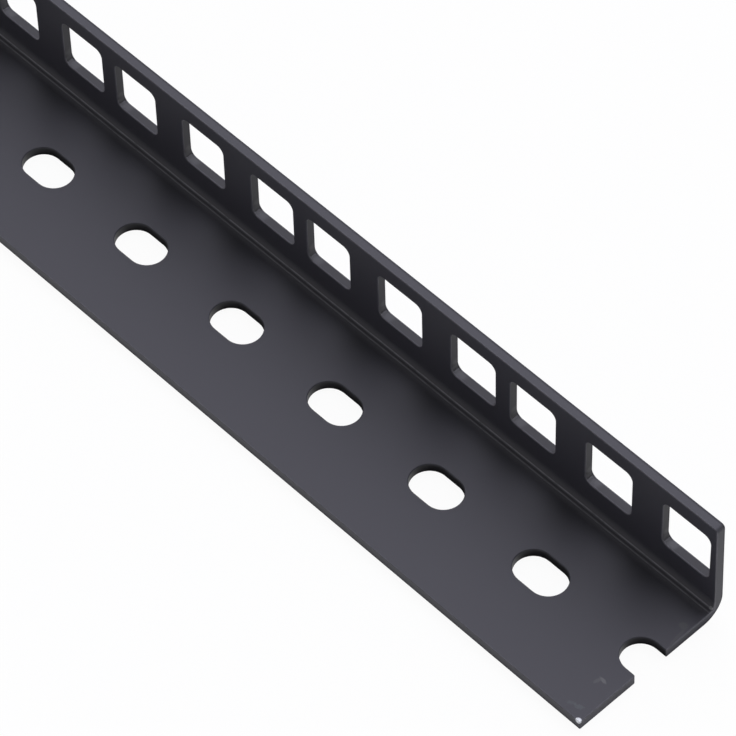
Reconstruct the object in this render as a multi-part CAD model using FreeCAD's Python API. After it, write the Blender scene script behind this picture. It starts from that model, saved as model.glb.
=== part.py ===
"""Rack rail: one length of folded sheet-steel angle for fixing equipment in a rack.

The rail is one strip of sheet, punched, cut to length and folded once. Its narrow flange
stands up and carries square holes for cage nuts at the standard rack spacing. Its wide leg
lies flat and carries slots, one to each half rack unit, for bolting the rail to a case or
cabinet. The strip is punched before it is cut, so the cut ends run through a slot and
leave an open notch in the leg. The punches go in from the side that the fold then encloses,
and the sheet rolls over a little round the holes on that side. The near end is sheared
slightly out of square, so that the rail is longest at the leg's free edge and shortest at the
flange's top.

Units are millimetres. X runs along the rail, Y from the leg's free edge to the flange's
outer face, and Z up from the leg's underside. The origin is at the middle of the
bounding box's bottom.
"""

import FreeCAD, Part
import math
import os

# Length along the fold, in rack units, and the standard places of the holes within one unit:
# the unit is fourteen eighths of an inch high, and its three holes stand five eighths apart
RACK_UNIT_HEIGHT = 44.45
UNITS_LONG = 6
HOLES_PER_UNIT = 3
EIGHTHS_PER_UNIT = 14
EIGHTHS_BETWEEN_HOLES = 5

# Section of the folded sheet
SHEET = 1.7
FLANGE_HEIGHT = 20
LEG_WIDTH = 30
BEND_INNER_RADIUS = 2.2

# Square cage-nut holes in the flange: their size on the inside, where the punch went in, and how
# far each side lies further out where it broke through
SQUARE_HOLE = 9.5
BREAK_OUT = 0.2
SQUARE_CORNER_RADIUS = 1.3
HOLE_BELOW_TOP = 7.8

# Bolt slots in the leg
SLOTS_PER_UNIT = 2
SLOT_LENGTH = 9.4
SLOT_WIDTH = 6.4
SLOT_FROM_BACK = 15.2
SLOT_BEFORE_END = 0.2

# The near end's lean from square, in degrees
SHEAR_LEAN = 1.25

# Rounding of the cut sheet: the flange's corners at the ends and the front corner of each
# notch's mouth, then the flat broken on sheared edges and the roll-over where punches went in
FLANGE_CORNER_RADIUS = 0.75
NOTCH_CORNER_RADIUS = 0.4
CUT_EDGE_BREAK = 0.1
HOLE_ROLL_OVER = 0.12

# Worked out from the sizes above
FOLD_LENGTH = UNITS_LONG * RACK_UNIT_HEIGHT
SHEAR_RUN = LEG_WIDTH * math.tan(math.radians(SHEAR_LEAN))
LENGTH = FOLD_LENGTH + SHEAR_RUN
NEAR_END = LENGTH / 2
FAR_END = -LENGTH / 2
FOLD_END = NEAR_END - SHEAR_RUN
BACK = LEG_WIDTH / 2
FRONT = -LEG_WIDTH / 2
FLANGE_INSIDE = BACK - SHEET
BEND_OUTER_RADIUS = BEND_INNER_RADIUS + SHEET
HOLE_HEIGHT = FLANGE_HEIGHT - HOLE_BELOW_TOP
HOLE_SPACING = RACK_UNIT_HEIGHT * EIGHTHS_BETWEEN_HOLES / EIGHTHS_PER_UNIT
FIRST_HOLE_IN_UNIT = (RACK_UNIT_HEIGHT - (HOLES_PER_UNIT - 1) * HOLE_SPACING) / 2
SLOT_PITCH = RACK_UNIT_HEIGHT / SLOTS_PER_UNIT
SLOT_LINE = BACK - SLOT_FROM_BACK
PUNCH_OVERRUN = SHEET

# Lengths closer than this are the same, and surfaces that turn by less than this many
# radians where they meet run on smoothly
SAME_LENGTH = 1e-4
SMOOTH_TURN = 0.5

NODE = "rack_rail"


def vec(x, y, z):
    """A FreeCAD vector."""
    return FreeCAD.Vector(x, y, z)


def same(one, other):
    """Whether two lengths are the same, to far less than any rounding on the rail."""
    return abs(one - other) < SAME_LENGTH


def quarter_arc(start, centre, end):
    """The quarter circle from start to end about centre."""
    radius = (start - centre).Length
    towards_corner = (start - centre) + (end - centre)
    middle = centre + towards_corner.normalize() * radius
    return Part.Arc(start, middle, end).toShape()


def section_face():
    """The angle's section at the far end: two flats joined by a bend of constant thickness."""
    bend_y = BACK - BEND_OUTER_RADIUS
    bend_z = BEND_OUTER_RADIUS

    def at(y, z):
        return vec(FAR_END, y, z)

    centre = at(bend_y, bend_z)
    edges = [
        Part.LineSegment(at(FRONT, 0), at(bend_y, 0)).toShape(),
        quarter_arc(at(bend_y, 0), centre, at(BACK, bend_z)),
        Part.LineSegment(at(BACK, bend_z), at(BACK, FLANGE_HEIGHT)).toShape(),
        Part.LineSegment(at(BACK, FLANGE_HEIGHT), at(FLANGE_INSIDE, FLANGE_HEIGHT)).toShape(),
        Part.LineSegment(at(FLANGE_INSIDE, FLANGE_HEIGHT), at(FLANGE_INSIDE, bend_z)).toShape(),
        quarter_arc(at(FLANGE_INSIDE, bend_z), centre, at(bend_y, SHEET)),
        Part.LineSegment(at(bend_y, SHEET), at(FRONT, SHEET)).toShape(),
        Part.LineSegment(at(FRONT, SHEET), at(FRONT, 0)).toShape(),
    ]
    return Part.Face(Part.Wire(edges))


def shear_waste():
    """What the leaning shear takes off the near end, growing from the leg's free edge."""
    corner = vec(NEAR_END, FRONT, 0)
    start = corner - vec(0, LEG_WIDTH, FLANGE_HEIGHT)
    waste = Part.makeBox(FLANGE_HEIGHT, 3 * LEG_WIDTH, 3 * FLANGE_HEIGHT, start)
    waste.rotate(corner, vec(0, 0, 1), SHEAR_LEAN)
    waste.rotate(corner, vec(0, 1, 0), -SHEAR_LEAN)
    return waste


def is_flange_corner(edge):
    """Whether an edge crosses the sheet's thickness at the flange's tip."""
    box = edge.BoundBox
    return same(box.YLength, SHEET) and same(box.ZMin, FLANGE_HEIGHT)


def folded_strip():
    """The folded strip before punching, with the flange's corners rounded."""
    strip = section_face().extrude(vec(LENGTH, 0, 0)).cut(shear_waste())
    return strip.makeFillet(FLANGE_CORNER_RADIUS, [edge for edge in strip.Edges if is_flange_corner(edge)])


def square_hole_places():
    """Where the square holes' centres lie along X, measured from the fold's near end."""
    places = []
    for unit in range(UNITS_LONG):
        for hole in range(HOLES_PER_UNIT):
            from_end = unit * RACK_UNIT_HEIGHT + FIRST_HOLE_IN_UNIT + hole * HOLE_SPACING
            places.append(FOLD_END - from_end)
    return places


def slot_places():
    """Where the slots' centres lie along X, from the near end's open notch to the far end's."""
    count = UNITS_LONG * SLOTS_PER_UNIT + 1
    return [FOLD_END - SLOT_BEFORE_END - index * SLOT_PITCH for index in range(count)]


def square_punch(x):
    """The punch for one square hole: a bar along Y that widens, with rounded corners."""
    widening = BREAK_OUT * PUNCH_OVERRUN / SHEET
    start, end = FLANGE_INSIDE - PUNCH_OVERRUN, BACK + PUNCH_OVERRUN
    small = SQUARE_HOLE / 2 - widening
    large = SQUARE_HOLE / 2 + BREAK_OUT + widening
    low, high = HOLE_HEIGHT - small, HOLE_HEIGHT + small
    wide_low, wide_high = HOLE_HEIGHT - large, HOLE_HEIGHT + large
    lowest = (x - small, start, low, wide_low, x - large)
    highest = (x + small, end, high, wide_high, x + large)
    bar = Part.makeWedge(*lowest, *highest)
    along_y = [edge for edge in bar.Edges if same(edge.BoundBox.YLength, end - start)]
    return bar.makeFillet(SQUARE_CORNER_RADIUS, along_y)


def slot_punch(x):
    """The punch for one slot: a bar with round ends, along Z."""
    radius = SLOT_WIDTH / 2
    half_straight = SLOT_LENGTH / 2 - radius
    depth = SHEET + 2 * PUNCH_OVERRUN
    left, right = x - half_straight, x + half_straight
    low, high = SLOT_LINE - radius, SLOT_LINE + radius

    def at(along, across):
        return vec(along, across, -PUNCH_OVERRUN)

    edges = [
        Part.LineSegment(at(left, low), at(right, low)).toShape(),
        Part.Arc(at(right, low), at(right + radius, SLOT_LINE), at(right, high)).toShape(),
        Part.LineSegment(at(right, high), at(left, high)).toShape(),
        Part.Arc(at(left, high), at(left - radius, SLOT_LINE), at(left, low)).toShape(),
    ]
    return Part.Face(Part.Wire(edges)).extrude(vec(0, 0, depth))


def punched_strip():
    """The folded strip with every hole, slot and notch punched through it."""
    punches = [square_punch(x) for x in square_hole_places()]
    punches += [slot_punch(x) for x in slot_places()]
    return folded_strip().cut(Part.makeCompound(punches))


def is_inside_flat(face):
    """Whether a face is the leg's top or the flange's inner face, where the punches went in."""
    box = face.BoundBox
    leg_top = same(box.ZMin, SHEET) and same(box.ZMax, SHEET)
    flange_inside = same(box.YMin, FLANGE_INSIDE) and same(box.YMax, FLANGE_INSIDE)
    return leg_top or flange_inside


def hole_rims(faces):
    """The edges round the closed holes in some faces."""
    rims = []
    for face in faces:
        for wire in face.Wires:
            if not wire.isSame(face.OuterWire):
                rims += wire.Edges
    return rims


def is_sharp(rail, edge):
    """Whether the two faces that meet in an edge turn by an angle there."""
    middle = edge.valueAt((edge.FirstParameter + edge.LastParameter) / 2)
    faces = rail.ancestorsOfType(edge, Part.Face)
    one, other = [face.normalAt(*face.Surface.parameter(middle)) for face in faces]
    return one.getAngle(other) > SMOOTH_TURN


def is_notch_corner(rail, edge):
    """Whether an edge is the front corner of a notch's mouth, across the sheet's thickness."""
    box = edge.BoundBox
    on_front_side = same(box.YMin, SLOT_LINE - SLOT_WIDTH / 2) and same(box.YLength, 0)
    return on_front_side and same(box.ZLength, SHEET) and is_sharp(rail, edge)


def rack_rail():
    """The finished rail, with its outline's cut edges broken and its holes rolled over inside."""
    rail = punched_strip()
    notch_corners = [edge for edge in rail.Edges if is_notch_corner(rail, edge)]
    rail = rail.makeFillet(NOTCH_CORNER_RADIUS, notch_corners)
    rims = {edge.hashCode() for edge in hole_rims(rail.Faces)}
    outline = [edge for edge in rail.Edges if edge.hashCode() not in rims and is_sharp(rail, edge)]
    rail = rail.makeChamfer(CUT_EDGE_BREAK, outline)
    inside_flats = [face for face in rail.Faces if is_inside_flat(face)]
    return rail.makeChamfer(HOLE_ROLL_OVER, hole_rims(inside_flats))


def main():
    """Build the rail and write it."""
    os.makedirs("parts", exist_ok=True)
    rail = rack_rail()
    rail.exportStep(f"parts/{NODE}.step")
    box = rail.optimalBoundingBox(False, False)
    print(f"{NODE}: {len(rail.Solids)} solid, valid {rail.isValid()}, {len(rail.Faces)} faces")
    print(f"size {box.XLength:.3f} x {box.YLength:.3f} x {box.ZLength:.3f} mm, volume {rail.Volume:.1f} mm3")


main()
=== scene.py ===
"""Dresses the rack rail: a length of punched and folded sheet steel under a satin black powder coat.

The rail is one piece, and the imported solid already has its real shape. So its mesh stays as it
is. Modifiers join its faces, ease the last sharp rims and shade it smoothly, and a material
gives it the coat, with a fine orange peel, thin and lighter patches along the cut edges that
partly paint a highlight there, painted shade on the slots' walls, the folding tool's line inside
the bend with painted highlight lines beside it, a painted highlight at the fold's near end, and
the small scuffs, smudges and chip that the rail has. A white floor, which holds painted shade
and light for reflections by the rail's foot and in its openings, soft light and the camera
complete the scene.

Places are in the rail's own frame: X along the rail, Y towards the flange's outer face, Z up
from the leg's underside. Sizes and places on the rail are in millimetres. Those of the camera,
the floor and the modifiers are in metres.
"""

import logging
import math
from dataclasses import dataclass
from enum import Enum
from functools import cached_property
from typing import Any, Optional, Sequence, Union

import bpy
from mathutils import Matrix, Vector

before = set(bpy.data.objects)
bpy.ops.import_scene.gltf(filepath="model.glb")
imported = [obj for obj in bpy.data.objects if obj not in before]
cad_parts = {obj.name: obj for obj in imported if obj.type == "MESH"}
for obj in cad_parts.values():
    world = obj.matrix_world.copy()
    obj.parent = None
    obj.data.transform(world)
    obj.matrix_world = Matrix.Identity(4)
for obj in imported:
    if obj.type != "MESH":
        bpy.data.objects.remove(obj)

LOG = logging.getLogger("rack_rail")

MM = 0.001

Number = Union[int, float]
Operand = Union["Signal", Number]
Range = tuple[float, float]
Place = tuple[float, float, float]
Colour = tuple[float, float, float, float]
NodeOwner = Union[bpy.types.Material, bpy.types.World, bpy.types.NodeTree]

WHITE: Colour = (1.0, 1.0, 1.0, 1.0)


class Kind(Enum):
    """What a signal carries. Only values take part in arithmetic."""

    VALUE = "value"
    VECTOR = "vector"
    COLOUR = "colour"
    SHADER = "shader"
    MESH = "mesh"


class Output(Enum):
    """The node that a net ends in."""

    MATERIAL = "ShaderNodeOutputMaterial"
    WORLD = "ShaderNodeOutputWorld"
    GROUP = "NodeGroupOutput"


class Layers(Enum):
    """How many finer layers a cloudy pattern has."""

    SOFT = 2.0
    RAGGED = 3.0


class Signal:
    """An output socket that takes part in Python expressions by adding Math nodes."""

    def __init__(self, net: "Net", socket: bpy.types.NodeSocket, kind: Kind = Kind.VALUE) -> None:
        """Wrap a socket.

        Args:
            net: The node net that the socket belongs to.
            socket: The output socket.
            kind: What it carries.
        """
        self.net = net
        self.socket = socket
        self.kind = kind

    def _math(self, operation: str, *operands: Operand) -> "Signal":
        """Add a Math node.

        Args:
            operation: Blender's name for the node's operation.
            operands: A number or a Signal that carries a value, for each of its sockets.

        Returns:
            The node's result.

        Raises:
            TypeError: If an operand carries anything else, which a Math node would spoil.
        """
        for operand in operands:
            if isinstance(operand, Signal) and operand.kind is not Kind.VALUE:
                raise TypeError(f"{operation} takes no {operand.kind.value}")
        return self.net.add("ShaderNodeMath", {"operation": operation}, dict(enumerate(operands)))

    def __add__(self, other: Operand) -> "Signal":
        """Sum."""
        return self._math("ADD", self, other)

    def __radd__(self, other: Operand) -> "Signal":
        """Sum with a number on the left."""
        return self._math("ADD", other, self)

    def __sub__(self, other: Operand) -> "Signal":
        """Difference."""
        return self._math("SUBTRACT", self, other)

    def __rsub__(self, other: Operand) -> "Signal":
        """Difference from a number on the left."""
        return self._math("SUBTRACT", other, self)

    def __mul__(self, other: Operand) -> "Signal":
        """Product."""
        return self._math("MULTIPLY", self, other)

    def __rmul__(self, other: Operand) -> "Signal":
        """Product with a number on the left."""
        return self._math("MULTIPLY", other, self)

    def __truediv__(self, other: Operand) -> "Signal":
        """Quotient."""
        return self._math("DIVIDE", self, other)

    def __abs__(self) -> "Signal":
        """Absolute value."""
        return self._math("ABSOLUTE", self)

    def low(self, other: Operand) -> "Signal":
        """The smaller of two."""
        return self._math("MINIMUM", self, other)

    def high(self, other: Operand) -> "Signal":
        """The larger of two."""
        return self._math("MAXIMUM", self, other)

    def root(self) -> "Signal":
        """The square root."""
        return self._math("SQRT", self)

    def angle(self, other: Operand) -> "Signal":
        """The angle in radians whose tangent is this over the other."""
        return self._math("ARCTAN2", self, other)

    def centred(self, period: float) -> "Signal":
        """The distance from the nearest whole multiple of a period, with its sign."""
        return self._math("WRAP", self, period / 2, -period / 2)

    def ramp(self, start: float, end: float) -> "Signal":
        """A smooth step: 0 at start and beyond it, 1 at end.

        Args:
            start: Where the step is 0.
            end: Where it is 1, above or below start.

        Returns:
            The step, whose middle is half way between the two.
        """
        if start < end:
            return self._smooth(start, end, 0.0, 1.0)
        return self._smooth(end, start, 1.0, 0.0)

    def _smooth(self, low: float, high: float, at_low: float, at_high: float) -> "Signal":
        """Carry one range to another along a smooth step.

        Args:
            low: Where the step begins.
            high: Where it ends.
            at_low: The result at low and below it.
            at_high: The result at high and above it.

        Returns:
            The step.
        """
        return self.net.add(
            "ShaderNodeMapRange",
            {"interpolation_type": "SMOOTHSTEP"},
            {"Value": self, "From Min": low, "From Max": high, "To Min": at_low, "To Max": at_high},
        )


class Net:
    """The nodes of one material, world or modifier's group, added one at a time."""

    def __init__(self, owner: NodeOwner) -> None:
        """Start with no nodes.

        Args:
            owner: The material, world or group that the nodes are for.
        """
        self.owner = owner
        if isinstance(owner, bpy.types.NodeTree):
            self.tree = owner
        else:
            owner.use_nodes = True
            self.tree = owner.node_tree
        self.tree.nodes.clear()

    def node(
        self,
        node_type: str,
        settings: Optional[dict[str, Any]] = None,
        inputs: Optional[dict[Union[int, str], Any]] = None,
    ) -> bpy.types.Node:
        """Add any node.

        Args:
            node_type: Blender's name for the node's type.
            settings: The node's own settings, which are set first.
            inputs: A value or a Signal for each socket, by number or name.

        Returns:
            The node.
        """
        node = self.tree.nodes.new(node_type)
        for name, value in (settings or {}).items():
            setattr(node, name, value)
        for key, value in (inputs or {}).items():
            if isinstance(value, Signal):
                self.tree.links.new(value.socket, node.inputs[key])
            else:
                node.inputs[key].default_value = value
        return node

    def add(
        self,
        node_type: str,
        settings: Optional[dict[str, Any]] = None,
        inputs: Optional[dict[Union[int, str], Any]] = None,
        output: Union[int, str] = 0,
        kind: Kind = Kind.VALUE,
    ) -> Signal:
        """Add any node for one of its outputs.

        Args:
            node_type: Blender's name for the node's type.
            settings: The node's own settings.
            inputs: A value or a Signal for each socket, by number or name.
            output: The output, by number or name.
            kind: What it carries.

        Returns:
            The output as a Signal.
        """
        return Signal(self, self.node(node_type, settings, inputs).outputs[output], kind)

    def place(self) -> Signal:
        """The point's place on the piece, in metres."""
        return self.add("ShaderNodeTexCoord", output="Object", kind=Kind.VECTOR)

    def split(self, vector: Signal) -> tuple[Signal, ...]:
        """A vector's three parts."""
        node = self.node("ShaderNodeSeparateXYZ", inputs={0: vector})
        return tuple(Signal(self, part) for part in node.outputs)

    def noise(self, place: Signal, grain: float, layers: Layers = Layers.SOFT) -> Signal:
        """A cloudy pattern.

        Args:
            place: Where it is looked up, in metres.
            grain: The size of its cells in millimetres.
            layers: How many finer layers it has.

        Returns:
            The pattern, between 0 and 1 and mostly near 0.5.
        """
        inputs = {"Vector": place, "Scale": 1 / (grain * MM), "Detail": layers.value}
        return self.add("ShaderNodeTexNoise", inputs=inputs)

    def nearness(self, direction: Signal, towards: Place) -> Signal:
        """How near a direction is to another.

        Args:
            direction: The direction, one long.
            towards: The other, of any length.

        Returns:
            The cosine of the angle between them.
        """
        inputs = {0: direction, 1: Vector(towards).normalized()}
        return self.add("ShaderNodeVectorMath", {"operation": "DOT_PRODUCT"}, inputs, "Value")

    def mix(self, factor: Operand, first: Any, second: Any) -> Signal:
        """A colour that goes from first to second as factor goes from 0 to 1."""
        settings = {"data_type": "RGBA"}
        return self.add("ShaderNodeMix", settings, {0: factor, 6: first, 7: second}, 2, Kind.COLOUR)

    def shader(self, node_type: str, inputs: dict[Union[int, str], Any]) -> Signal:
        """Add a node that gives a shader."""
        return self.add(node_type, inputs=inputs, kind=Kind.SHADER)

    def mix_shaders(self, factor: Operand, first: Signal, second: Signal) -> Signal:
        """A shader that goes from first to second as factor goes from 0 to 1."""
        return self.shader("ShaderNodeMixShader", {0: factor, 1: first, 2: second})

    def finish(self, output: Output, result: Signal) -> NodeOwner:
        """Join the net's result to its output.

        Args:
            output: The node that the net ends in.
            result: What goes into it.

        Returns:
            The material, world or group that the nodes are for.
        """
        self.node(output.value, inputs={0: result})
        return self.owner


@dataclass(frozen=True)
class Viewpoint:
    """The camera, as an aim on the rail and a direction and distance from it."""

    aim: Place = (64.568 * MM, 8.111 * MM, 1.7 * MM)
    azimuth: float = 48.286
    elevation: float = 50.570
    roll: float = -1.803
    distance: float = 715.01 * MM
    lens: float = 229.74
    sensor: float = 36.0
    clip: Range = (0.01, 50.0)

    def place(self) -> None:
        """Make the scene's camera."""
        turn, tilt = math.radians(self.azimuth), math.radians(self.elevation)
        level = math.cos(tilt)
        back = Vector((math.sin(turn) * level, -math.cos(turn) * level, math.sin(tilt)))
        data = bpy.data.cameras.new("camera")
        data.lens = self.lens
        data.sensor_width = self.sensor
        data.clip_start, data.clip_end = self.clip
        camera = bpy.data.objects.new("camera", data)
        upright = (-back).to_track_quat("-Z", "Y").to_matrix()
        rolled = upright @ Matrix.Rotation(math.radians(self.roll), 3, "Z")
        camera.matrix_world = Matrix.LocRotScale(Vector(self.aim) + back * self.distance, rolled, None)
        bpy.context.scene.collection.objects.link(camera)
        bpy.context.scene.camera = camera


@dataclass(frozen=True)
class Sizes:
    """The rail's sizes, which its coat and the floor's light are placed by.

    Lengths are in millimetres, and the near end's lean from square is in degrees. Places count
    from the middle of the rail's box.
    """

    rack_unit: float = 44.45
    units_long: int = 6
    eighths_per_unit: int = 14
    eighths_between_holes: int = 5
    leg_width: float = 30.0
    flange_height: float = 20.0
    sheet: float = 1.7
    bend_inner_radius: float = 2.2
    shear_lean: float = 1.25
    hole_size: float = 9.5
    hole_corner: float = 1.3
    hole_below_top: float = 7.8
    break_out: float = 0.2
    slots_per_unit: int = 2
    slot_length: float = 9.4
    slot_width: float = 6.4
    slot_from_back: float = 15.2
    slot_before_end: float = 0.2

    @property
    def fold_length(self) -> float:
        """The rail's length along its fold."""
        return self.units_long * self.rack_unit

    @property
    def shear_slope(self) -> float:
        """How far the near end runs back for each millimetre across the rail."""
        return math.tan(math.radians(self.shear_lean))

    @property
    def length(self) -> float:
        """The rail's whole length, along its free edge."""
        return self.fold_length + self.leg_width * self.shear_slope

    @property
    def back(self) -> float:
        """Where the flange's outer face is."""
        return self.leg_width / 2

    @property
    def front(self) -> float:
        """Where the leg's free edge is."""
        return -self.leg_width / 2

    @property
    def flange_inside(self) -> float:
        """Where the flange's inner face is."""
        return self.back - self.sheet

    @property
    def fold_end(self) -> float:
        """Where the fold ends near the camera, which the holes and slots are measured from."""
        return (self.fold_length - self.leg_width * self.shear_slope) / 2

    @property
    def far_end(self) -> float:
        """Where the far end is."""
        return self.fold_end - self.fold_length

    @property
    def hole_spacing(self) -> float:
        """How far apart the square holes in one rack unit are."""
        return self.rack_unit * self.eighths_between_holes / self.eighths_per_unit

    @property
    def hole_height(self) -> float:
        """How high the square holes' centres are."""
        return self.flange_height - self.hole_below_top

    @property
    def hole_straight(self) -> float:
        """Half the straight part of a square hole's side."""
        return self.hole_size / 2 - self.hole_corner

    @property
    def slot_pitch(self) -> float:
        """How far apart the slots are."""
        return self.rack_unit / self.slots_per_unit

    @property
    def slot_line(self) -> float:
        """Where the slots' centre line is."""
        return self.back - self.slot_from_back

    @property
    def slot_straight(self) -> float:
        """Half the straight part of a slot's side."""
        return (self.slot_length - self.slot_width) / 2


class Spots:
    """Where a point of the rail lies, as signals in millimetres."""

    def __init__(self, net: Net, sizes: Sizes) -> None:
        """Add the nodes that read the place.

        Args:
            net: The material's net.
            sizes: The rail's sizes.
        """
        self.net = net
        self.sizes = sizes
        self.place = net.place()
        across = net.split(self.place)
        self.x, self.y, self.z = (part / MM for part in across)

    def near_end(self) -> Signal:
        """How far the point is from the leaning near end."""
        sizes = self.sizes
        return sizes.fold_end + (sizes.back - self.y - self.z) * sizes.shear_slope - self.x

    def any_end(self) -> Signal:
        """How far the point is from the nearer end."""
        return self.near_end().low(self.x - self.sizes.far_end)

    def along_bend(self) -> tuple[Signal, Signal]:
        """Where the point is on the bend's inner arc.

        Returns:
            How far round the arc it is from the leg, and how far it is from the arc itself.
        """
        sizes = self.sizes
        outward = self.y - (sizes.flange_inside - sizes.bend_inner_radius)
        downward = sizes.sheet + sizes.bend_inner_radius - self.z
        reach = (outward * outward + downward * downward).root()
        round_arc = outward.angle(downward) * sizes.bend_inner_radius
        return round_arc, abs(reach - sizes.bend_inner_radius)

    @cached_property
    def from_square(self) -> tuple[Signal, Signal]:
        """How far the point is from the nearest square hole's centre.

        Returns:
            The distance to the left and the distance downward.
        """
        sizes = self.sizes
        in_unit = (sizes.fold_end - self.x - sizes.rack_unit / 2).centred(sizes.rack_unit)
        return in_unit.centred(sizes.hole_spacing), sizes.hole_height - self.z

    def square_corner(self, fade: Range) -> tuple[Signal, Signal]:
        """Where the point is on the lower left corner of a square hole.

        Args:
            fade: Where the corner begins and where it counts in full, beyond the line that joins
                the ends of its rounding, as shares of the rounding's radius.

        Returns:
            How far round the corner it is from the corner's middle, with the bottom wall's side
            above 0, and how near to the corner it is, from 0 to 1.
        """
        radius, straight = self.sizes.hole_corner, self.sizes.hole_straight
        left, down = self.from_square
        near = (left + down - 2 * straight).ramp(fade[0] * radius, fade[1] * radius)
        return (down - left) / math.sqrt(2), near

    @cached_property
    def from_square_rim(self) -> Signal:
        """How far the point is from the nearest square hole's wall, which widens outwards.

        Returns:
            The distance, seen along Y.
        """
        sizes = self.sizes
        left, down = self.from_square
        side, rise = abs(left) - sizes.hole_straight, abs(down) - sizes.hole_straight
        beside, over = side.high(0.0), rise.high(0.0)
        outside = (beside * beside + over * over).root()
        widened = ((self.y - sizes.flange_inside) / sizes.sheet).high(0.0).low(1.0) * sizes.break_out
        return abs(outside + side.high(rise).low(0.0) - sizes.hole_corner - widened)

    def beyond_rail(self) -> Signal:
        """How far outside the rail's bounding rectangle the point is, seen along Z."""
        sizes = self.sizes
        return (abs(self.x) - sizes.length / 2).high(abs(self.y) - sizes.leg_width / 2)

    def beyond_slot(self, ahead: Range = (0.0, 0.0)) -> Signal:
        """How far outside the nearest slot's outline the point is, seen along Z.

        Args:
            ahead: How far off the asked point lies from this one along X and Y.

        Returns:
            The distance, below 0 inside the outline.
        """
        sizes = self.sizes
        first = sizes.fold_end - sizes.slot_before_end - ahead[0]
        in_pitch = (first - self.x).centred(sizes.slot_pitch)
        along = (abs(in_pitch) - sizes.slot_straight).high(0.0)
        across = self.y + (ahead[1] - sizes.slot_line)
        return (along * along + across * across).root() - sizes.slot_width / 2

    def from_outline(self) -> Signal:
        """How far the point is from the outline's nearest cut face: an end or a free edge."""
        sizes = self.sizes
        return abs(self.any_end().low(self.y - sizes.front).low(sizes.flange_height - self.z))

    @cached_property
    def depth(self) -> Signal:
        """How far the point is from the nearer of the sheet's two skins.

        Returns:
            The distance, across the leg or the flange.
        """
        sizes = self.sizes
        inner = (self.z - sizes.sheet).low(sizes.flange_inside - self.y)
        outer = self.z.low(sizes.back - self.y)
        return abs(inner).low(abs(outer))

    def from_point(self, centre: Place, stretch: Place, turn: float) -> Signal:
        """How far the point is from a centre, with each direction measured in its own unit.

        Args:
            centre: The centre in millimetres.
            stretch: How many millimetres count as one along X, Y and Z.
            turn: How many degrees the first two directions are turned about Z.

        Returns:
            The distance, 1 on the ellipsoid that the stretch describes.
        """
        east, north, up = (here - there for here, there in zip((self.x, self.y, self.z), centre))
        cosine, sine = math.cos(math.radians(turn)), math.sin(math.radians(turn))
        first = (east * cosine + north * sine) / stretch[0]
        second = (north * cosine - east * sine) / stretch[1]
        third = up / stretch[2]
        return (first * first + second * second + third * third).root()


@dataclass(frozen=True)
class Floor:
    """The white floor under the rail.

    To the camera and to reflections it shows itself partly plain, over the light that falls on
    it. For reflections, the plain part holds a painted shade at the rail's foot, and painted light
    and painted shade in the openings. Its size and its gap below the leg are in metres. The painted
    shade at the rail's foot and the painted light in the openings are placed in millimetres.
    """

    sizes: Sizes
    size: float = 60.0
    gap: float = 0.02 * MM
    colour: Colour = (0.9, 0.9, 0.9, 1.0)
    plain_to_camera: float = 0.94
    plain_beside: float = 0.88
    foot_shade: float = 0.7
    plain_in_openings: float = 0.85
    white_where_lit: float = 0.72
    light_from: Range = (0.9, 1.5)
    light_edge: Range = (0.05, -0.85)

    def plain(self, net: Net) -> tuple[Signal, Signal]:
        """How far a ray sees the floor plain.

        The camera sees a white background. A reflection beside the rail sees much of it, less a
        painted shade at the rail's foot. One from the wall of a slot or notch sees the floor inside the
        opening, with painted light in its front part and painted dark shade in its back part, as if
        light fell in over the sheet from behind.

        Args:
            net: The floor's net.

        Returns:
            The plain part of what the ray sees, and the white part of that.
        """
        path = net.node("ShaderNodeLightPath").outputs
        rays = ("Is Camera Ray", "Is Transmission Ray", "Is Glossy Ray")
        to_camera, through, glossy = (Signal(net, path[ray]) for ray in rays)
        spots = Spots(net, self.sizes)
        beyond = spots.beyond_rail()
        # Painted shade at the rail's foot: reflections see less of the plain floor there.
        beside = beyond.ramp(0.0, self.foot_shade) * self.plain_beside
        under = beyond.ramp(0.0, -self.sizes.slot_before_end)
        # Painted light in the front part of each opening, and painted shade in its back part.
        lit = spots.beyond_slot(self.light_from).ramp(*self.light_edge)
        reflected = glossy * (beside + under * self.plain_in_openings)
        plain = to_camera.high(through) * self.plain_to_camera + reflected
        return plain.low(1.0), 1.0 - glossy * under * (1.0 - lit * self.white_where_lit)

    def material(self) -> bpy.types.Material:
        """Make the floor's material: matte white, and over it the plain floor, which glows white or
        stays dark as painted shade.

        Returns:
            The material.
        """
        net = Net(bpy.data.materials.new("white_floor"))
        matte = net.shader("ShaderNodeBsdfDiffuse", {"Color": self.colour})
        # A dark emission, the painted shade in the openings.
        painted_shade = net.shader("ShaderNodeEmission", {"Strength": 0.0})
        white = net.shader("ShaderNodeEmission", {"Strength": 1.0})
        plain_part, white_part = self.plain(net)
        plain = net.mix_shaders(white_part, painted_shade, white)
        return net.finish(Output.MATERIAL, net.mix_shaders(plain_part, matte, plain))

    def lay(self) -> None:
        """Lay the floor, one flat square."""
        half = self.size / 2
        around = [(-half, -half), (half, -half), (half, half), (-half, half)]
        corners = [(x, y, -self.gap) for x, y in around]
        mesh = bpy.data.meshes.new("floor")
        mesh.from_pydata(corners, [], [(0, 1, 2, 3)])
        mesh.materials.append(self.material())
        floor = bpy.data.objects.new("floor", mesh)
        bpy.context.scene.collection.objects.link(floor)


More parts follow.
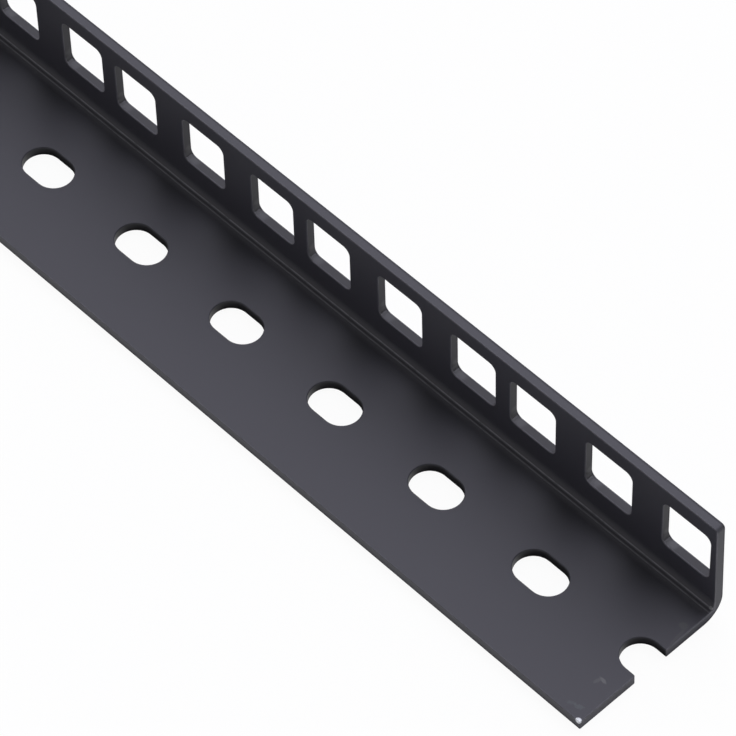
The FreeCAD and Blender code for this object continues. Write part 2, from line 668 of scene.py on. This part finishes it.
@dataclass(frozen=True)
class SoftLight:
    """The light round the rail: a white backdrop, a dim ceiling, and a broad softbox behind.

    A brightness of 1 is white. The softbox's edge is given by the cosine of the angle from its
    middle, and the ceiling's by the sine of the angle above the floor.
    """

    backdrop: float = 1.0
    ceiling: float = 0.3
    ceiling_edge: Range = (0.1, 0.5)
    softbox: float = 3.0
    softbox_towards: Place = (-0.20, 0.75, 0.58)
    softbox_edge: Range = (0.62, 0.92)
    softbox_tint: Colour = (0.97, 0.965, 1.11, 1.0)

    def shine(self) -> None:
        """Make the world that gives the light."""
        net = Net(bpy.data.worlds.new("studio_light"))
        direction = net.add("ShaderNodeTexCoord", output="Generated", kind=Kind.VECTOR)
        height = net.split(direction)[2]
        in_softbox = net.nearness(direction, self.softbox_towards).ramp(*self.softbox_edge)
        overhead = self.ceiling + (self.softbox - self.ceiling) * in_softbox
        above = height.ramp(*self.ceiling_edge)
        strength = self.backdrop + (overhead - self.backdrop) * above
        colour = net.mix(in_softbox, WHITE, self.softbox_tint)
        shader = net.shader("ShaderNodeBackground", {"Color": colour, "Strength": strength})
        bpy.context.scene.world = net.finish(Output.WORLD, shader)


@dataclass(frozen=True)
class Mark:
    """One small mark on the coat: a soft blot of another colour, with a ragged outline.

    It is an ellipsoid round its centre, turned about Z by some degrees. Its outline wanders by up
    to the ragged share of its size, and it fades in between two shares of its size.
    """

    name: str
    centre: Place
    stretch: Place
    colour: Colour
    strength: float = 1.0
    turn: float = 0.0
    ragged: float = 0.3
    grain: float = 0.35
    fade: Range = (1.0, 0.55)

    def cover(self, spots: Spots) -> Signal:
        """How much of the mark lies on the point.

        Args:
            spots: Where the point lies.

        Returns:
            The mark's share of the colour, from 0 to 1.
        """
        wobble = (spots.net.noise(spots.place, self.grain, Layers.RAGGED) - 0.5) * self.ragged * 2
        reach = spots.from_point(self.centre, self.stretch, self.turn) + wobble
        return reach.ramp(*self.fade) * self.strength


@dataclass(frozen=True)
class FoldLine:
    """The line that the folding tool left inside the bend: a ridge beside a groove.

    Places are millimetres round the bend's inner arc from the leg. In ragged patches, a painted
    highlight line and a fainter one run beside the ridge and the groove.
    """

    ridge: float = 1.25
    ridge_height: float = 0.05
    groove: float = 1.60
    groove_depth: float = 0.06
    half_width: float = 0.25
    off_arc: Range = (0.4, 0.2)
    bright_line: float = 1.80
    faint_line: float = 1.12
    faint_strength: float = 0.4
    line_half_width: float = 0.17
    wander: float = 0.06
    wander_grain: float = 9.0
    highlight_grain: float = 1.6
    highlight_edge: Range = (0.15, 0.6)
    highlight_colour: Colour = (0.107, 0.102, 0.125, 1.0)

    def relief(self, spots: Spots) -> tuple[Signal, Signal]:
        """The line's relief and its painted highlight lines.

        Args:
            spots: Where the point lies.

        Returns:
            The line's height over the bend, and the share of the painted highlight lines, from 0 to 1.
        """
        net = spots.net
        along, off = spots.along_bend()
        there = along + (net.noise(spots.place, self.wander_grain) - 0.5) * self.wander * 2
        ridge = abs(there - self.ridge).ramp(self.half_width, 0.0) * self.ridge_height
        groove = abs(there - self.groove).ramp(self.half_width, 0.0) * self.groove_depth
        bright = abs(there - self.bright_line).ramp(self.line_half_width, 0.0)
        faint = abs(there - self.faint_line).ramp(self.line_half_width, 0.0) * self.faint_strength
        fold_highlight = net.noise(spots.place, self.highlight_grain, Layers.RAGGED).ramp(*self.highlight_edge)
        on_arc = off.ramp(*self.off_arc)
        return (ridge - groove) * on_arc, ((bright + faint) * fold_highlight * on_arc).low(1.0)


@dataclass(frozen=True)
class PunchedWalls:
    """Where a point lies on the walls that the punches cut.

    The first two say how much it is on a square hole's wall and on a slot's, from 0 to 1. The
    others say where it is on a square hole's lower left corner.
    """

    in_square: Signal
    in_slot: Signal
    round_corner: Signal
    near_corner: Signal


@dataclass(frozen=True)
class PowderCoat:
    """A satin black powder coat.

    It is thin and lighter in patches along the cut edges, which partly paints a highlight there,
    rough in the square holes, smoother in the slots, whose walls are darkened with painted shade,
    and gathered in a bead at the flange's outer edge.
    """

    colour: Colour = (0.0185, 0.0178, 0.0268, 1.0)
    roughness: float = 0.55
    ior: float = 1.55
    peel_grain: float = 0.45
    peel_height: float = 0.0025
    thin_coat_and_highlight_colour: Colour = (0.068, 0.066, 0.080, 1.0)
    thin_and_highlight_edge: Range = (0.24, 0.06)
    thin_and_highlight_grain: float = 1.3
    least_thin_and_highlight: float = 0.45
    wall_edge: Range = (0.15, 0.05)
    wall_depth: Range = (0.1, 0.3)
    square_colour: Colour = (0.0192, 0.0184, 0.0222, 1.0)
    square_roughness: float = 0.72
    square_peel: float = 4.0
    # Painted shade for the slots' walls.
    slot_shade_colour: Colour = (0.0068, 0.0064, 0.0095, 1.0)
    slot_roughness: float = 0.45
    corner_fade: Range = (0.1, 0.7)
    corner_roughness: float = 0.58
    corner_groove: float = -0.03
    corner_groove_half_width: float = 0.3
    corner_groove_depth: float = 0.11
    bead_width: float = 0.5
    bead_height: float = 0.10
    fold_line: FoldLine = FoldLine()

    def punched_walls(self, spots: Spots) -> PunchedWalls:
        """Where the point lies on the punched walls, whose coat differs.

        Args:
            spots: Where the point lies on the rail.

        Returns:
            Its place on the walls.
        """
        deep = spots.depth.ramp(*self.wall_depth)
        in_square = spots.from_square_rim.ramp(*self.wall_edge) * deep
        in_slot = abs(spots.beyond_slot()).ramp(*self.wall_edge) * deep
        return PunchedWalls(in_square, in_slot, *spots.square_corner(self.corner_fade))

    def thin_coat_and_highlight(self, spots: Spots) -> Signal:
        """How thin the coat is, its lighter colour partly a painted highlight along the rims.

        Args:
            spots: Where the point lies.

        Returns:
            The share of the thin, lighter coat, partly a painted highlight, from 0 to 1, largest on the
            rims of the outline and the holes.
        """
        cut = spots.from_outline().low(spots.from_square_rim)
        to_rim = (cut * cut + spots.depth * spots.depth).root()
        patches = spots.net.noise(spots.place, self.thin_and_highlight_grain, Layers.RAGGED)
        return (to_rim.ramp(*self.thin_and_highlight_edge) * (self.least_thin_and_highlight + patches)).low(1.0)

    def tone(self, spots: Spots, punched: PunchedWalls, fold_highlight: Signal, marks: Sequence[Mark]) -> Signal:
        """The coat's colour.

        Args:
            spots: Where the point lies.
            punched: Its place on the punched walls.
            fold_highlight: The share of the painted highlight lines along the fold line.
            marks: The marks on the coat, the later over the earlier.

        Returns:
            The colour.
        """
        net = spots.net
        colour = net.mix(punched.in_square, self.colour, self.square_colour)
        # Painted shade: the slots' walls are darkened.
        colour = net.mix(punched.in_slot, colour, self.slot_shade_colour)
        # Thin coat along the rims, lighter: partly wear, partly a painted highlight.
        colour = net.mix(self.thin_coat_and_highlight(spots), colour, self.thin_coat_and_highlight_colour)
        # Painted highlight lines along the fold.
        colour = net.mix(fold_highlight, colour, self.fold_line.highlight_colour)
        for mark in marks:
            colour = net.mix(mark.cover(spots), colour, mark.colour)
        return colour

    def gloss(self, punched: PunchedWalls) -> Signal:
        """The coat's roughness.

        Args:
            punched: The point's place on the punched walls.

        Returns:
            The roughness.
        """
        towards_corner = (self.corner_roughness - self.square_roughness) * punched.near_corner
        square = self.square_roughness + towards_corner
        roughness = self.roughness + punched.in_square * (square - self.roughness)
        return roughness + punched.in_slot * (self.slot_roughness - self.roughness)

    def height(self, spots: Spots, punched: PunchedWalls, fold: Signal) -> Signal:
        """The coat's relief.

        Args:
            spots: Where the point lies.
            punched: Its place on the punched walls.
            fold: The fold line's height.

        Returns:
            The height over the solid's surface in millimetres.
        """
        peel = spots.net.noise(spots.place, self.peel_grain) * self.peel_height
        peel = peel * (1.0 + punched.in_square * (self.square_peel - 1.0))
        groove = abs(punched.round_corner - self.corner_groove).ramp(self.corner_groove_half_width, 0.0)
        groove = groove * punched.near_corner * punched.in_square * self.corner_groove_depth
        to_back = (1.0 - (spots.sizes.back - spots.y) / self.bead_width).high(0.0)
        return peel + fold - groove + to_back * to_back * self.bead_height

    def material(self, sizes: Sizes, marks: Sequence[Mark]) -> bpy.types.Material:
        """Make the coat's material.

        Args:
            sizes: The rail's sizes.
            marks: The marks on the coat, the later over the earlier.

        Returns:
            The material.
        """
        net = Net(bpy.data.materials.new("powder_coat"))
        spots = Spots(net, sizes)
        punched = self.punched_walls(spots)
        fold, fold_highlight = self.fold_line.relief(spots)
        relief = {"Strength": 1.0, "Distance": MM, "Height": self.height(spots, punched, fold)}
        inputs = {
            "Base Color": self.tone(spots, punched, fold_highlight, marks),
            "Roughness": self.gloss(punched),
            "IOR": self.ior,
            "Normal": net.add("ShaderNodeBump", inputs=relief, kind=Kind.VECTOR),
        }
        return net.finish(Output.MATERIAL, net.shader("ShaderNodeBsdfPrincipled", inputs))


@dataclass(frozen=True)
class RackRail:
    """The rail itself. Its modifiers' lengths are in metres, and their angles in degrees."""

    node: str = "rack_rail"
    slot: str = "powder_coated_steel"
    joined_within: float = 0.001 * MM
    rim_radius: float = 0.1 * MM
    rim_segments: int = 2
    rim_angle: float = 60.0
    crisp_angle: float = 20.0
    sizes: Sizes = Sizes()
    coat: PowderCoat = PowderCoat()
    marks: tuple[Mark, ...] = (
        Mark(
            "smudge by the corner", (131.55, -13.1, 1.7), (1.0, 0.45, 0.3), (0.044, 0.053, 0.060, 1.0),
            strength=0.6, turn=20.0, ragged=1.0,
        ),
        Mark(
            "smudge's tail", (130.35, -13.35, 1.7), (0.9, 0.35, 0.3), (0.040, 0.048, 0.054, 1.0),
            strength=0.55, turn=25.0, ragged=1.0,
        ),
        Mark(
            "scuff", (130.7, -7.35, 1.7), (0.95, 0.36, 0.3), (0.075, 0.075, 0.080, 1.0),
            strength=0.9, turn=-9.0,
        ),
        Mark(
            "scuff's faint side", (130.15, -7.95, 1.7), (0.85, 0.4, 0.3), (0.045, 0.045, 0.050, 1.0),
            strength=0.8, turn=76.0,
        ),
        Mark(
            "faint smudge by the bend", (131.9, 7.95, 1.7), (0.9, 0.8, 0.3), (0.034, 0.034, 0.038, 1.0),
            strength=0.9,
        ),
        Mark(
            "faint streak along the end", (132.7, 5.9, 1.7), (2.6, 0.3, 0.3), (0.034, 0.034, 0.038, 1.0),
            strength=0.7, turn=98.0,
        ),
        # A painted highlight at the near end of the fold line.
        Mark(
            "painted highlight at the fold line's end", (132.75, 12.7, 2.4), (0.4, 0.3, 0.35), (0.15, 0.15, 0.16, 1.0),
            strength=0.7,
        ),
        Mark(
            "chip", (133.2, -14.9, 1.65), (0.6, 0.6, 0.6), (0.78, 0.80, 0.83, 1.0),
            ragged=0.15,
        ),
    )

    def piece(self) -> bpy.types.Object:
        """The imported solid's object."""
        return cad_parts[self.node]

    def mesh_net(self, name: str) -> tuple[Net, Signal]:
        """Start a modifier's group.

        Args:
            name: The group's name.

        Returns:
            The group's net, and the mesh that goes into it.
        """
        group = bpy.data.node_groups.new(name, "GeometryNodeTree")
        for way in ("INPUT", "OUTPUT"):
            group.interface.new_socket("Geometry", in_out=way, socket_type="NodeSocketGeometry")
        net = Net(group)
        return net, net.add("NodeGroupInput", kind=Kind.MESH)

    def join_group(self) -> bpy.types.NodeTree:
        """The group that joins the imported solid's loose faces.

        Returns:
            The group.
        """
        net, mesh = self.mesh_net("join_faces")
        inputs = {0: mesh, "Distance": self.joined_within}
        joined = net.add("GeometryNodeMergeByDistance", inputs=inputs, kind=Kind.MESH)
        return net.finish(Output.GROUP, joined)

    def smooth_group(self) -> bpy.types.NodeTree:
        """The group that shades curved faces smoothly and keeps the edges between faces crisp.

        All faces and edges are made smooth first, and then the edges that turn by more than the
        crisp angle are made sharp again.

        Returns:
            The group.
        """
        net, mesh = self.mesh_net("smooth_faces")
        angle = net.add("GeometryNodeInputMeshEdgeAngle", output="Unsigned Angle")
        limit = {"A": angle, "B": math.radians(self.crisp_angle)}
        crisp = net.add("FunctionNodeCompare", {"operation": "GREATER_THAN"}, limit, "Result")
        steps = [("FACE", {}), ("EDGE", {}), ("EDGE", {"Selection": crisp, "Shade Smooth": False})]
        for domain, inputs in steps:
            settings = {"domain": domain}
            mesh = net.add("GeometryNodeSetShadeSmooth", settings, {0: mesh, **inputs}, kind=Kind.MESH)
        return net.finish(Output.GROUP, mesh)

    def ease(self) -> None:
        """Join the faces, round the sharp rims and smooth the shading."""
        piece = self.piece()
        piece.modifiers.new("join_faces", "NODES").node_group = self.join_group()
        bevel = piece.modifiers.new("eased_rims", "BEVEL")
        bevel.width = self.rim_radius
        bevel.segments = self.rim_segments
        bevel.limit_method = "ANGLE"
        bevel.angle_limit = math.radians(self.rim_angle)
        bevel.use_clamp_overlap = True
        piece.modifiers.new("smooth_faces", "NODES").node_group = self.smooth_group()

    def dress(self) -> None:
        """Give the rail its coat."""
        piece = self.piece()
        piece.material_slots[0].material = self.coat.material(self.sizes, self.marks)
        LOG.info("%s: %d faces, %s", piece.name, len(piece.data.polygons), self.slot)
        LOG.info("marks: %s", ", ".join(mark.name for mark in self.marks))


def main() -> None:
    """Build the scene."""
    logging.basicConfig(level=logging.INFO, format="%(name)s: %(message)s")
    bpy.context.scene.view_settings.view_transform = "Standard"
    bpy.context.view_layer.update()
    rail = RackRail()
    rail.ease()
    rail.dress()
    Floor(rail.sizes).lay()
    SoftLight().shine()
    Viewpoint().place()


if __name__ == "__main__":
    main()
